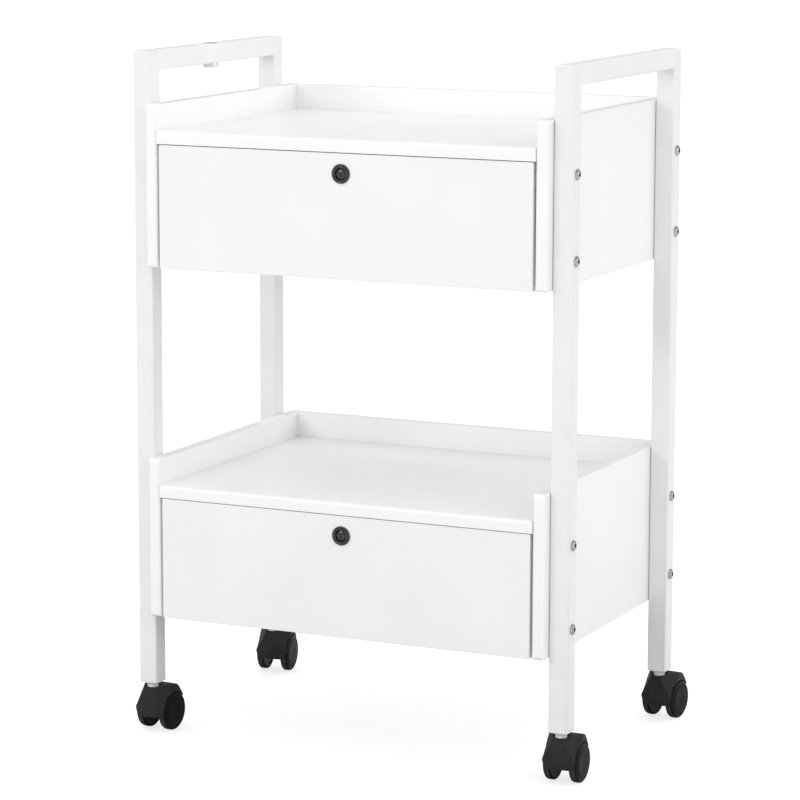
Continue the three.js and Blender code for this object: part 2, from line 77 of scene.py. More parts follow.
BOARD_EDGE = 1.2 * MM  # general softening of a foil-wrapped board
BUTT_EDGE = 0.12 * MM  # where a board ends against its neighbour
BUTT_REACH = 0.25 * MM  # how far such an end goes into the model's gap
SIDE_FRONT_EDGE = 4.5 * MM  # a cabinet side's rounded front
SHELF_NOSE = 4.0 * MM
SHELF_EDGE = 0.5 * MM
DRAWER_FRONT_EDGE = 0.9 * MM
DRAWER_BOARD_EDGE = 0.4 * MM
HOLE_EDGE_SHARE = 0.25  # of its board's own edge

BOLT_RADIUS = 6.8 * MM
BOLT_DOME = 3.9 * MM
BOLT_SOCKET = 2.6 * MM  # half the hexagon's width
BOLT_SOCKET_FLOOR = 0.8 * MM
BOLT_SHANK_RADIUS = 3.0 * MM
BOLT_SHANK_LENGTH = 38 * MM
BOLT_TURN = 17  # degrees that each bolt's socket is turned on from the last one
BOLT_HEIGHTS = (36 * MM, 140 * MM)  # above a cabinet's underside

LOCK_HOLE_RADIUS = 9.8 * MM
LOCK_BARREL_RADIUS = 9.4 * MM
LOCK_BORE = 7.15 * MM
LOCK_RINGS = (  # mm: out from the bore, and back from the bezel's front
    (0, 1.6), (1.1, 0), (2.2, 0), (2.9, 1.3), (3.4, 1.3), (3.9, 0.8),
)
LOCK_RIM = ((0.5, 1.0), (0, 1.9))  # mm: in from the bezel's edge, and back from its front
LOCK_ROUNDING = 0.6 * MM
LOCK_SEAT = 0.05 * MM  # from the drawer's face to the bezel's back edge
PLUG_RADIUS = 6.95 * MM
PLUG_SINK = 1.4 * MM  # from the bezel's front back to the plug's face
PLUG_DOME = ((0, 1.3), (0.9, 0.6), (2.6, 0), (4.6, -0.4))  # mm: in from its edge, and back
PLUG_CROWN = 0.55 * MM
PLUG_ROUNDING = 0.5 * MM
KEY_SLOT = (0.6 * MM, 3.2 * MM, 9 * MM)  # half its width, half its height, and its depth
CAM_EDGE = 0.25 * MM
CAM_NUT = (5.6 * MM, 0.1 * MM, 2.5 * MM)  # its radius, its gap to the cam, and its thickness
CAM_NUT_EDGE = 0.4 * MM

WHEEL_RADIUS = 25 * MM
WHEEL_OFFSET = 17.6 * MM
WHEEL_PROFILE = (  # mm: radius, and outwards from the wheel's middle
    (0, 4.95), (13, 5.35), (18.2, 5.1), (19.2, 4.2), (20.2, 4.2), (21.1, 4.95), (23.2, 4.5),
    (24.6, 3.4), (24.95, 2.3), (24.95, -3.9), (24.2, -5.2), (20.5, -5.3), (19, -3.8),
    (7.9, -3.8), (6.3, -7.7), (2.9, -7.7), (2.9, 3.9), (0, 3.9),
)
WHEEL_EDGE = 0.9 * MM
TREAD_FROM = 24.8 * MM  # the tread's material starts at this radius
AXLE_PIN = (2.45 * MM, 20.5 * MM)  # its radius and half its length
AXLE_PIN_EDGE = 0.4 * MM
STEM_PIN = (3.95 * MM, 43.5 * MM, 92.5 * MM)  # its radius, and the heights of its ends
STEM_PIN_EDGE = 0.6 * MM
FOOT_SQUARES = (  # mm: half its width, its height above the floor, and its corners' radius
    (10.6, 97.5, 2), (10.6, 68.1, 2), (12.4, 67.9, 2), (12.4, 66.9, 2.4),
)
FOOT_ROUNDS = (  # mm: radius, and height above the floor; the last two are the stem's bore
    (11.9, 66.3), (10.6, 65.2), (8.8, 64.3), (7.6, 63.8), (7.3, 63.2), (7.3, 59.6),
    (6.9, 59.3), (4.35, 59.3), (4.35, 93),
)
CASTER_TRAIL = 18 * MM
AXLE = Vector((CASTER_TRAIL, WHEEL_RADIUS))  # behind the stem and above the floor
HOOD_TOP = 61.4 * MM
HOOD_SKIRT = 20.6 * MM
HOOD_FRONT = -12.9 * MM
HOOD_BEND = 37 * MM  # the height where its front starts to lean back
HOOD_LEAN = 2.4 * MM
HOOD_SHOULDER = 4 * MM
HOOD_CROWN = 9 * MM  # how far the crown's curve holds on to its tangents
HOOD_HALF_WIDTH = 22.1 * MM
HOOD_BACK_HALF_WIDTH = 19.7 * MM
HOOD_BULGE_RADIUS = 50 * MM
HOOD_TUCK = (1.6 * MM, 12 * MM)  # how far its foot draws in, over this height
HOOD_FACET = ((8, -11, 57), (21.7, -8, 32), (23.2, 18, 60.5))  # mm: across, back and up
HOOD_DISH_FLOOR = 58.7 * MM
HOOD_DISH_RADII = (9.2 * MM, 12.3 * MM)  # at its floor and at the hood's top
HOOD_EDGE = 1.0 * MM
ARCH_RADIUS = 26.1 * MM
FENDER_RADIUS = 27.5 * MM
FENDER_END = radians(38)
AXLE_BOSS_RADIUS = 9 * MM
SPINE_HALF = 8.9 * MM

WORLD_LIGHT = 1.12
WORLD_SEEN = 1.0
WORLD_REFLECTED = 0.4
FLOOR_BOUNCE_PAINTED_SHADE = (0.4, 0.64)  # under the trolley and away from it; darker under it as a painted shadow of the trolley
FLOOR_SHADE_FADE = (0.2, 1.0)  # metres from the middle, over which the painted shadow fades out
FLOOR_SEEN = 0.4
FLOOR_GLOW = 0.7

LEVELS = ("upper", "lower")
SIDES = {"left": -1, "right": 1}
CASTERS = ("front_left", "front_right", "rear_left", "rear_right")

# ---------------------------------------------------------------- materials


class Shader:
    """A material with a Principled shader, and short calls that add nodes to it."""

    def __init__(self, name, **sockets):
        self.material = bpy.data.materials.new(name)
        self.material.use_nodes = True
        self.tree = self.material.node_tree
        self.surface = self.tree.nodes["Principled BSDF"]
        self.place = self.node("ShaderNodeTexCoord").outputs["Object"]
        for socket, value in sockets.items():
            self.surface.inputs[socket.replace("_", " ")].default_value = value

    def node(self, kind, **values):
        made = self.tree.nodes.new(kind)
        for key, value in values.items():
            setattr(made, key, value)
        return made

    def join(self, source, target):
        self.tree.links.new(source, target)

    def noise(self, scale, detail=4.0, roughness=0.55, stretch=None):
        place = self.place
        if stretch:
            mapping = self.node("ShaderNodeMapping")
            mapping.inputs["Scale"].default_value = stretch
            self.join(place, mapping.inputs["Vector"])
            place = mapping.outputs["Vector"]
        made = self.node("ShaderNodeTexNoise")
        made.inputs["Scale"].default_value = scale
        made.inputs["Detail"].default_value = detail
        made.inputs["Roughness"].default_value = roughness
        self.join(place, made.inputs["Vector"])
        return made.outputs["Fac"]

    def ramp(self, source, low, high, start=0.3, end=0.7):
        """Numbers or colours from low to high as source goes from start to end."""
        if isinstance(low, (int, float)):
            made = self.node("ShaderNodeMapRange")
            for socket, value in zip(
                ("From Min", "From Max", "To Min", "To Max"), (start, end, low, high)
            ):
                made.inputs[socket].default_value = value
            self.join(source, made.inputs["Value"])
            return made.outputs["Result"]
        made = self.node("ShaderNodeValToRGB")
        first, last = made.color_ramp.elements
        first.position, last.position = start, end
        first.color, last.color = (*low, 1), (*high, 1)
        self.join(source, made.inputs["Fac"])
        return made.outputs["Color"]

    def colour(self, source):
        self.join(source, self.surface.inputs["Base Color"])

    def rough(self, source):
        self.join(source, self.surface.inputs["Roughness"])

    def bump(self, *layers):
        """Layers are (height, distance in metres, strength), from the coarsest to the finest."""
        normal = None
        for height, distance, strength in layers:
            made = self.node("ShaderNodeBump")
            made.inputs["Distance"].default_value = distance
            made.inputs["Strength"].default_value = strength
            self.join(height, made.inputs["Height"])
            if normal:
                self.join(normal, made.inputs["Normal"])
            normal = made.outputs["Normal"]
        self.join(normal, self.surface.inputs["Normal"])

    def worn_edge(self, radius, gain):
        """1 where the surface bends within the radius, 0 on the flats."""
        bevel = self.node("ShaderNodeBevel", samples=6)
        bevel.inputs["Radius"].default_value = radius
        plain = self.node("ShaderNodeNewGeometry").outputs["Normal"]
        dot = self.node("ShaderNodeVectorMath", operation="DOT_PRODUCT")
        self.join(bevel.outputs["Normal"], dot.inputs[0])
        self.join(plain, dot.inputs[1])
        return self.ramp(dot.outputs["Value"], 1.0, 0.0, 1 - gain, 1.0)


def powder_coat():
    """White powder coat: a fine orange peel, with a slightly uneven gloss."""
    s = Shader("powder_coat", IOR=1.5)
    s.colour(s.ramp(s.noise(22), (0.8, 0.8, 0.805), (0.835, 0.835, 0.84)))
    s.rough(s.ramp(s.noise(60), 0.36, 0.46))
    s.bump(
        (s.noise(420, detail=2), 0.00012, 0.25),
        (s.noise(1500, detail=2), 0.00005, 0.25),
    )
    return s.material


def foil(name, low, high):
    """Foil-wrapped fibreboard: smooth, with the faint waviness of a pressed foil."""
    s = Shader(name, IOR=1.48, Coat_Weight=0.15, Coat_Roughness=0.2)
    s.colour(s.ramp(s.noise(9), (low, low, low + 0.007), (high, high, high + 0.005)))
    s.rough(s.ramp(s.noise(35), 0.28, 0.38))
    s.bump((s.noise(38, detail=2), 0.0004, 0.08), (s.noise(900, detail=3), 0.00004, 0.18))
    return s.material


def shelf_laminate():
    """The shelves' working face: a satin laminate, a little greyer, with fine scuffs."""
    s = Shader("shelf_laminate", IOR=1.48)
    scuffs = s.noise(55, detail=6, roughness=0.7, stretch=(1, 0.25, 1))
    s.colour(s.ramp(s.noise(7), (0.868, 0.848, 0.862), (0.894, 0.876, 0.888)))
    s.rough(s.ramp(scuffs, 0.36, 0.5))
    s.bump((s.noise(700, detail=4), 0.00006, 0.3))
    return s.material


def melamine():
    """Melamine-faced drawer board: a fine pearl texture."""
    s = Shader("melamine", IOR=1.48)
    s.colour(s.ramp(s.noise(12), (0.775, 0.772, 0.755), (0.815, 0.812, 0.797)))
    s.rough(s.ramp(s.noise(80), 0.42, 0.54))
    s.bump((s.noise(520, detail=5, roughness=0.7), 0.0001, 0.3))
    return s.material


def zinc():
    """Rolled zinc-plated steel, with its grain along Y and a faint spangle."""
    s = Shader("zinc_plate", Metallic=1.0)
    grain = s.noise(260, detail=5, stretch=(1, 0.06, 1))
    s.colour(s.ramp(s.noise(30), (0.55, 0.56, 0.585), (0.68, 0.69, 0.70)))
    s.rough(s.ramp(grain, 0.24, 0.42))
    s.bump((grain, 0.00008, 0.3))
    return s.material


def bright_metal(name, low, high):
    """Nickel plate with faint smudges."""
    s = Shader(name, Metallic=1.0)
    s.colour(s.ramp(s.noise(180), (low, low, low + 0.005), (high, high, high + 0.005)))
    s.rough(s.ramp(s.noise(350), 0.06, 0.15))
    s.bump((s.noise(1100, detail=2), 0.00003, 0.12))
    return s.material


def bolt_socket_painted_shade():
    """The inside of a bolt's hexagon, near black: painted shade in the recess, with a dull gloss.
    """
    s = Shader("bolt_socket_painted_shade", IOR=1.5)
    s.colour(s.ramp(s.noise(500), (0.012, 0.012, 0.013), (0.045, 0.044, 0.042)))
    s.rough(s.ramp(s.noise(700), 0.45, 0.65))
    s.bump((s.noise(1500, detail=3), 0.00004, 0.3))
    return s.material


def lock_black():
    """Black-plated die casting, rubbed lighter on its edges."""
    s = Shader("lock_black", IOR=1.5, Coat_Weight=1.0, Coat_Roughness=0.06)
    edge = s.worn_edge(0.5 * MM, 0.3)
    s.colour(s.ramp(edge, (0.012, 0.012, 0.013), (0.04, 0.04, 0.042), 0.2, 1.0))
    s.rough(s.ramp(s.noise(400), 0.26, 0.38))
    s.bump((s.noise(1400, detail=3), 0.00004, 0.3))
    return s.material


def hood_nylon():
    """Moulded black nylon with a spark-eroded grain and a faint mottle of dust."""
    s = Shader("hood_nylon", IOR=1.5, Specular_IOR_Level=0.25)
    s.colour(s.ramp(s.noise(70, detail=6), (0.016, 0.016, 0.0165), (0.025, 0.025, 0.026)))
    s.rough(s.ramp(s.noise(150), 0.42, 0.55))
    s.bump((s.noise(1900, detail=3), 0.00007, 0.45))
    return s.material


def wheel_nylon():
    """Glossier nylon of the wheels, with the tread scuffed dull by the floor."""
    s = Shader("wheel_nylon", IOR=1.5, Specular_IOR_Level=0.12)
    s.colour(s.ramp(s.noise(110, detail=6), (0.004, 0.004, 0.0045), (0.008, 0.008, 0.0085)))
    s.rough(s.ramp(s.noise(60, detail=3), 0.12, 0.2))
    s.bump((s.noise(1300, detail=3), 0.00002, 0.12))
    return s.material


def tread_nylon():
    s = Shader("tread_nylon", IOR=1.5, Specular_IOR_Level=0.3)
    s.colour(s.ramp(s.noise(260, detail=8), (0.020, 0.020, 0.021), (0.046, 0.045, 0.044)))
    s.rough(s.ramp(s.noise(300, detail=6), 0.5, 0.72))
    s.bump((s.noise(900, detail=6), 0.00012, 0.4))
    return s.material


def insert_plastic():
    """Off-white moulded plastic of the post feet."""
    s = Shader("insert_plastic", IOR=1.49)
    s.colour(s.ramp(s.noise(120), (0.72, 0.72, 0.73), (0.78, 0.78, 0.785)))
    s.rough(s.ramp(s.noise(200), 0.38, 0.5))
    s.bump((s.noise(1600, detail=2), 0.00005, 0.3))
    return s.material


MATERIALS = {
    "powder_coat": powder_coat(),
    "white_foil_board": foil("white_foil", 0.88, 0.91),
    # The drawer fronts take a darker copy of the boards' foil: painted shade, so that the fronts
    # read darker than the cabinet.
    "front_foil_painted_shade": foil("front_foil_painted_shade", 0.84, 0.87),
    "shelf_laminate": shelf_laminate(),
    "drawer_board": melamine(),
    "zinc_plate": zinc(),
    "bright_metal": bright_metal("bright_metal", 0.52, 0.62),
    # The lamp socket takes a lighter copy of the bolts' nickel plate: painted light, so that it
    # reads whiter than the bolts.
    "socket_metal_painted_light": bright_metal("socket_metal_painted_light", 0.86, 0.93),
    "bolt_socket_painted_shade": bolt_socket_painted_shade(),
    "lock_black": lock_black(),
    "black_nylon": hood_nylon(),
    "wheel_nylon": wheel_nylon(),
    "tread": tread_nylon(),
    "post_insert": insert_plastic(),
}
BODY_OF = {
    node: body for body, nodes in frame["record"]["behaviour"]["bodies"].items() for node in nodes
}
SLOT_OF = {row["node"]: row["material_slot"] for row in frame["record"]["subparts"]}

# ---------------------------------------------------------------- mesh helpers


def add(name, bm, slot, body, replaces=(), extra=(), sharp=30, finish=None):
    """Makes a piece of a bmesh: it rides on a body, and stands for the CAD nodes in replaces.
    finish is the first material, if it isn't the slot's own; extra holds the others."""
    bmesh.ops.recalc_face_normals(bm, faces=bm.faces)
    mesh = bpy.data.meshes.new(name)
    bm.to_mesh(mesh)
    bm.free()
    for key in (finish or slot, *extra):
        mesh.materials.append(MATERIALS[key])
    obj = bpy.data.objects.new(name, mesh)
    bpy.context.scene.collection.objects.link(obj)
    mesh.polygons.foreach_set("use_smooth", [True] * len(mesh.polygons))
    if sharp:
        mesh.set_sharp_from_angle(angle=radians(sharp))
    if replaces:
        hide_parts(*replaces)
    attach(obj, body)
    return obj


def bake(obj):
    """Applies the object's modifiers to its mesh."""
    bpy.context.view_layer.update()
    done = bpy.data.meshes.new_from_object(
        obj.evaluated_get(bpy.context.evaluated_depsgraph_get())
    )
    obj.modifiers.clear()
    obj.data = done


def combine(operation, bm, *tools):
    """bm with the closed bmeshes in tools cut off or intersected. It frees the tools."""
    scene = bpy.context.scene
    made = []
    for i, part in enumerate((bm, *tools)):
        bmesh.ops.recalc_face_normals(part, faces=part.faces)
        mesh = bpy.data.meshes.new("cutting")
        part.to_mesh(mesh)
        part.free()
        obj = bpy.data.objects.new(f"cutting_{i}", mesh)
        scene.collection.objects.link(obj)
        made.append(obj)
    base = made[0]
    for tool in made[1:]:
        boolean = base.modifiers.new("cut", "BOOLEAN")
        boolean.object, boolean.solver, boolean.operation = tool, "EXACT", operation
    bake(base)
    result = bmesh.new()
    result.from_mesh(base.data)
    for obj in made:
        mesh = obj.data
        bpy.data.objects.remove(obj)
        bpy.data.meshes.remove(mesh)
    bmesh.ops.dissolve_limit(
        result, angle_limit=radians(1), verts=result.verts, edges=result.edges
    )
    return result


def cut(bm, *tools):
    return combine("DIFFERENCE", bm, *tools)


def sweep(bm, faces, along):
    """Draws flat faces out along a vector into a closed body."""
    grown = bmesh.ops.extrude_face_region(bm, geom=faces)
    moved = [v for v in grown["geom"] if isinstance(v, bmesh.types.BMVert)]
    bmesh.ops.translate(bm, verts=moved, vec=along)
    return bm


def skin(bm, rings):
    """Closes rings of the same number of vertices into one body."""
    for a, b in zip(rings, rings[1:]):
        for i in range(len(a)):
            j = (i + 1) % len(a)
            bm.faces.new((a[i], a[j], b[j], b[i]))
    bm.faces.new(rings[0])
    bm.faces.new(rings[-1])
    return bm


def block(lo, hi):
    bm = bmesh.new()
    bmesh.ops.create_cube(bm, size=1)
    for v in bm.verts:
        v.co = Vector(lo[i] + (v.co[i] + 0.5) * (hi[i] - lo[i]) for i in range(3))
    return bm


def rod(radius, start, end, sides=48):
    """A closed cylinder between two points."""
    bm = bmesh.new()
    axis = Vector(end) - Vector(start)
    turn = axis.to_track_quat("Z", "Y").to_matrix().to_4x4()
    place = Matrix.Translation((Vector(start) + Vector(end)) / 2) @ turn
    bmesh.ops.create_cone(
        bm, cap_ends=True, segments=sides, radius1=radius, radius2=radius,
        depth=axis.length, matrix=place,
    )
    return bm


def circle(bm, radius, height, sides):
    """Vertices around the Z axis."""
    angles = [tau * i / sides for i in range(sides)]
    return [bm.verts.new((radius * cos(t), radius * sin(t), height)) for t in angles]


def lathe(profile, place, sides=64):
    """Turns (radius, height) points about the local Z axis: a closed ring if both ends are
    off the axis."""
    bm = bmesh.new()
    rings = []
    for radius, height in profile:
        if radius < NEAR:
            rings.append([bm.verts.new((0, 0, height))])
        else:
            rings.append(circle(bm, radius, height, sides))
    pairs = list(zip(rings, rings[1:]))
    if len(rings[0]) > 1 and len(rings[-1]) > 1:
        pairs.append((rings[-1], rings[0]))
    for a, b in pairs:
        for i in range(sides):
            j = (i + 1) % sides
            corners = [a[i % len(a)], a[j % len(a)], b[j % len(b)], b[i % len(b)]]
            face = list(dict.fromkeys(corners))
            if len(face) > 2:
                bm.faces.new(face)
    bm.transform(place)
    return bm


def rounded(points, radius, steps=5):
    """A polyline profile with each inner corner turned into an arc of about the radius."""
    made = [Vector(points[0])]
    for before, corner, after in zip(points, points[1:], points[2:]):
        corner, a, b = Vector(corner), Vector(before), Vector(after)
        reach = min(radius, (a - corner).length * 0.45, (b - corner).length * 0.45)
        start = corner + (a - corner).normalized() * reach
        end = corner + (b - corner).normalized() * reach
        for i in range(steps + 1):
            t = i / steps
            made.append(start * (1 - t) ** 2 + corner * 2 * t * (1 - t) + end * t * t)
    made.append(Vector(points[-1]))
    return [tuple(p) for p in made]


def arc(centre, radius, start, end, steps):
    """Points on a circle, from one angle to another."""
    angles = (start + (end - start) * i / steps for i in range(steps + 1))
    return [(centre[0] + radius * cos(t), centre[1] + radius * sin(t)) for t in angles]


def curve(a, b, c, d, steps):
    """Points on a cubic curve, without its first."""
    made = []
    for i in range(1, steps + 1):
        t = i / steps
        u = 1 - t
        made.append(tuple(a * u**3 + b * (3 * t * u * u) + c * (3 * t * t * u) + d * t**3))
    return made


def soften(obj, width, segments=3, weights=None, angle=30):
    """Rounds an object's edges. weights(edge) is the share of the width that an edge gets."""
    bevel = obj.modifiers.new("soften", "BEVEL")
    bevel.width, bevel.segments = width, segments
    bevel.harden_normals = True
    bevel.use_clamp_overlap = True
    if weights:
        bevel.limit_method = "WEIGHT"
        mesh = obj.data
        layer = mesh.attributes.new("bevel_weight_edge", "FLOAT", "EDGE")
        for edge in mesh.edges:
            a, b = (mesh.vertices[i].co for i in edge.vertices)
            layer.data[edge.index].value = weights(a, b)
    else:
        bevel.limit_method = "ANGLE"
        bevel.angle_limit = radians(angle)
    return obj


# ---------------------------------------------------------------- boards


def board(node, edge, nose=None, nose_at=None, hole=None, top_slot=None, butts=(), finish=None):
    """A board in a CAD node's place. The edges that nose_at picks are rounded by nose, the rest
    by edge. butts are the (axis, end) pairs of its faces that close up to a neighbour, end 0 or
    1. top_slot is its upper face's own material."""
    lo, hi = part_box(node)
    for axis, end in butts:
        (lo, hi)[end][axis] += BUTT_REACH if end else -BUTT_REACH
    bm = block(lo, hi)
    if hole:
        bm = cut(bm, hole)
    if top_slot:
        for face in bm.faces:
            face.material_index = 1 if face.normal.z > 0.9 else 0
    slot = SLOT_OF[node] if not top_slot else "white_foil_board"
    extra = (top_slot,) if top_slot else ()
    obj = add(node + "_finish", bm, slot, BODY_OF[node], [node], extra, finish=finish)
    widest = max(edge, nose or 0)

    def share(a, b):
        if hole and not on_corner(a, lo, hi):
            return HOLE_EDGE_SHARE * edge / widest
        for axis, end in butts:
            face = (lo, hi)[end][axis]
            if abs(a[axis] - face) < NEAR and abs(b[axis] - face) < NEAR:
                return BUTT_EDGE / widest
        return (nose if nose and nose_at(a, b, lo, hi) else edge) / widest

    return soften(obj, widest, 4, share)


def on_corner(point, lo, hi):
    return all(min(abs(point[i] - lo[i]), abs(point[i] - hi[i])) < NEAR for i in range(3))


def front_edge(a, b, lo, hi):
    return abs(a.y - lo.y) < NEAR and abs(b.y - lo.y) < NEAR


def front_top_edge(a, b, lo, hi):
    return front_edge(a, b, lo, hi) and abs(a.z - hi.z) < NEAR and abs(b.z - hi.z) < NEAR


def cabinets():
    for level in LEVELS:
        for side in SIDES:
            board(f"{level}_side_{side}", BOARD_EDGE, SIDE_FRONT_EDGE, front_edge)
        board(f"{level}_back_panel", BOARD_EDGE, butts=((0, 0), (0, 1)))
        board(
            f"{level}_shelf", SHELF_EDGE, SHELF_NOSE, front_top_edge, top_slot="shelf_laminate",
            butts=((0, 0), (0, 1), (1, 1)),
        )


def drawers():
    for level in LEVELS:
        front = f"{level}_drawer_front"
        lo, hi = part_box(front)
        barrel_lo, barrel_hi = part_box(f"{level}_lock_housing")
        z = (barrel_lo.z + barrel_hi.z) / 2
        hole = rod(LOCK_HOLE_RADIUS, (0, lo.y - PAST, z), (0, hi.y + PAST, z))
        # The front's darker foil is painted shade.
        board(front, DRAWER_FRONT_EDGE, hole=hole, finish="front_foil_painted_shade")
        for node in ("back", "bottom", "side_left", "side_right"):
            board(f"{level}_drawer_{node}", DRAWER_BOARD_EDGE)


# ---------------------------------------------------------------- side frames


def tube_outline(bm, x, front, back, foot, top, across):
    """The posts and the handle bar seen from the side, as quads with mitred corners."""

    def quad(*corners):
        bm.faces.new([vertex(y, z) for y, z in corners])

    made = {}

    def vertex(y, z):
        key = (round(y, 7), round(z, 7))
        if key not in made:
            made[key] = bm.verts.new((x, y, z))
        return made[key]

    inner_front, inner_back, under = front + across, back - across, top - across
    quad((front, foot), (inner_front, foot), (inner_front, under), (front, top))
    quad((front, top), (inner_front, under), (inner_back, under), (back, top))
    quad((back, top), (inner_back, under), (inner_back, foot), (back, foot))


def tube_solid(lo, hi, inset, foot):
    """The frame's tube as a solid, or with an inset its hollow, down to the height of foot."""
    bm = bmesh.new()
    across = (hi.x - lo.x) - 2 * inset
    tube_outline(bm, lo.x + inset, lo.y + inset, hi.y - inset, foot, hi.z - inset, across)
    return sweep(bm, bm.faces[:], (across, 0, 0))


def side_frames():
    for side in SIDES:
        node = side + "_frame"
        lo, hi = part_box(node)
        tools = [tube_solid(lo, hi, TUBE_WALL, lo.z - PAST)]
        if side == "left":
            socket_lo, socket_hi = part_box("lamp_socket")
            centre = (socket_lo + socket_hi) / 2
            radius = (socket_hi.x - socket_lo.x) / 2 + SOCKET_GAP
            bottom = (centre.x, centre.y, hi.z - SOCKET_HOLE_DEPTH)
            tools.append(rod(radius, bottom, (centre.x, centre.y, hi.z + PAST)))
        bm = cut(tube_solid(lo, hi, 0, lo.z), *tools)
        obj = add(node + "_finish", bm, "powder_coat", "root", [node])

        def share(a, b, box=(lo, hi)):
            lo, hi = box
            same_x = abs(a.x - b.x) < NEAR
            on_side = same_x and min(abs(a.x - lo.x), abs(a.x - hi.x)) < NEAR
            feet = max(a.z, b.z) < lo.z + NEAR
            across = abs(a.x - b.x) > TUBE_SPAN
            return 1.0 if (on_side or across) and not feet else 0.0

        soften(obj, TUBE_CORNER, 4, share)


def lamp_socket():
    lo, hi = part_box("lamp_socket")
    centre = (lo + hi) / 2
    outer, height = (hi.x - lo.x) / 2, hi.z - lo.z
    mouth = SOCKET_BORE + SOCKET_CHAMFER
    profile = rounded(
        [
            (SOCKET_BORE, height / 2), (SOCKET_BORE, SOCKET_CHAMFER), (mouth, 0),
            (outer, 0), (outer, height),
            (mouth, height), (SOCKET_BORE, height - SOCKET_CHAMFER),
            (SOCKET_BORE, height / 2 + SEAM),
        ],
        SOCKET_ROUNDING,
    )
    place = Matrix.Translation((centre.x, centre.y, lo.z))
    bm = lathe(profile, place, 72)
    # The socket's lighter plate is painted light.
    add("lamp_socket_finish", bm, "bright_metal", "root", ["lamp_socket"], finish="socket_metal_painted_light")


# ---------------------------------------------------------------- bolts


def bolt_mesh():
    """A dome-head bolt with a hexagon socket: its head stands on Z 0 and its shank goes down."""
    rim = 0.7 * MM
    dome = [
        (BOLT_RADIUS * cos(t), rim + (BOLT_DOME - rim) * sin(t))
        for t in (radians(5 * i) for i in range(15))
    ]
    flat = dome[-1][1]
    tip = -BOLT_SHANK_LENGTH
    profile = [
        (0, tip), (BOLT_SHANK_RADIUS - 0.6 * MM, tip), (BOLT_SHANK_RADIUS, tip + 0.8 * MM),
        (BOLT_SHANK_RADIUS, 0), (BOLT_RADIUS - 0.4 * MM, 0), (BOLT_RADIUS, 0.3 * MM),
        *dome, (0, flat),
    ]
    head = lathe(profile, Matrix.Identity(4), 48)
    corner = BOLT_SOCKET / cos(pi / 6)
    bm = cut(head, rod(corner, (0, 0, BOLT_SOCKET_FLOOR), (0, 0, flat + PAST), 6))
    low, high = BOLT_SOCKET_FLOOR - 0.1 * MM, flat - 0.1 * MM
    # The faces inside the hexagon take the near-black second material: painted shade in the
    # recess.
    for face in bm.faces:
        middle = face.calc_center_median()
        inside = middle.xy.length < corner and low < middle.z < high
        face.material_index = 1 if inside else 0
    return bm


def bolts():
    template = bolt_mesh()
    count = 0
    for side, sign in SIDES.items():
        lo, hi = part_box(side + "_frame")
        tube = hi.x - lo.x
        x = hi.x if sign > 0 else lo.x
        for level in LEVELS:
            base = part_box(f"{level}_side_{side}")[0].z
            for end, y in (("front", lo.y + tube / 2), ("rear", hi.y - tube / 2)):
                for row, height in zip(("low", "high"), BOLT_HEIGHTS):
                    turn = Matrix.Rotation(sign * pi / 2, 4, "Y")
                    spin = Matrix.Rotation(radians(BOLT_TURN * count % 60), 4, "Z")
                    count += 1
                    bm = template.copy()
                    bm.transform(Matrix.Translation((x, y, base + height)) @ turn @ spin)
                    name = f"bolt_{side}_{level}_{end}_{row}"
                    add(name, bm, "bright_metal", "root", extra=("bolt_socket_painted_shade",))
    template.free()


# ---------------------------------------------------------------- locks


def lock(level):
    housing_lo, housing_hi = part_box(f"{level}_lock_housing")
    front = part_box(f"{level}_drawer_front")[0].y
    z = (housing_lo.z + housing_hi.z) / 2
    radius = (housing_hi.x - housing_lo.x) / 2
    proud = front - housing_lo.y
    length = housing_hi.y - front
    # Local Z is the way out of the drawer, from its face.
    place = Matrix.Translation((0, front, z)) @ Matrix.Rotation(pi / 2, 4, "X")
    profile = rounded(
        [
            (LOCK_BORE, -length / 2),
            *((LOCK_BORE + out * MM, proud - back * MM) for out, back in LOCK_RINGS),
            *((radius - inwards * MM, proud - back * MM) for inwards, back in LOCK_RIM),
            (radius, LOCK_SEAT), (LOCK_BARREL_RADIUS, 0), (LOCK_BARREL_RADIUS, -length),
            (LOCK_BORE, -length), (LOCK_BORE, -length / 2 - SEAM),
        ],
        LOCK_ROUNDING,
    )
    add(
        f"{level}_lock_housing_finish", lathe(profile, place, 80), "lock_black",
        f"{level}_drawer", [f"{level}_lock_housing"],
    )
    face = proud - PLUG_SINK
    profile = rounded(
        [
            (0, -length), (PLUG_RADIUS, -length),
            *((PLUG_RADIUS - inwards * MM, face - back * MM) for inwards, back in PLUG_DOME),
            (0, face + PLUG_CROWN),
        ],
        PLUG_ROUNDING,
    )
    half_width, half_height, depth = KEY_SLOT
    slot = block((-half_width, -half_height, face - depth), (half_width, half_height, face + PAST))
    slot.transform(place)
    add(
        f"{level}_lock_plug_finish", cut(lathe(profile, place), slot), "lock_black",
        f"{level}_lock", [f"{level}_lock_plug"],
    )
    cam_lo, cam_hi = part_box(f"{level}_lock_cam")
    cam = cam_plate(cam_lo, cam_hi, z)
    made = add(
        f"{level}_lock_cam_finish", cam, "zinc_plate", f"{level}_lock", [f"{level}_lock_cam"]
    )
    soften(made, CAM_EDGE, 2)
    nut_radius, gap, thickness = CAM_NUT
    near = cam_hi.y + gap
    nut = rod(nut_radius, (0, near, z), (0, near + thickness, z), 6)
    soften(add(f"{level}_lock_screw", nut, "zinc_plate", f"{level}_lock"), CAM_NUT_EDGE, 2)


def cam_plate(lo, hi, z):
    """The cam: a flat arm with round ends."""
    bm = bmesh.new()
    half = (hi.z - lo.z) / 2
    outline = arc((0, z), half, pi / 2, -pi / 2, 16)
    outline += arc((lo.x + half, z), half, -pi / 2, -3 * pi / 2, 16)
    face = bm.faces.new([bm.verts.new((x, lo.y, height)) for x, height in outline])
    return sweep(bm, [face], (0, hi.y - lo.y, 0))


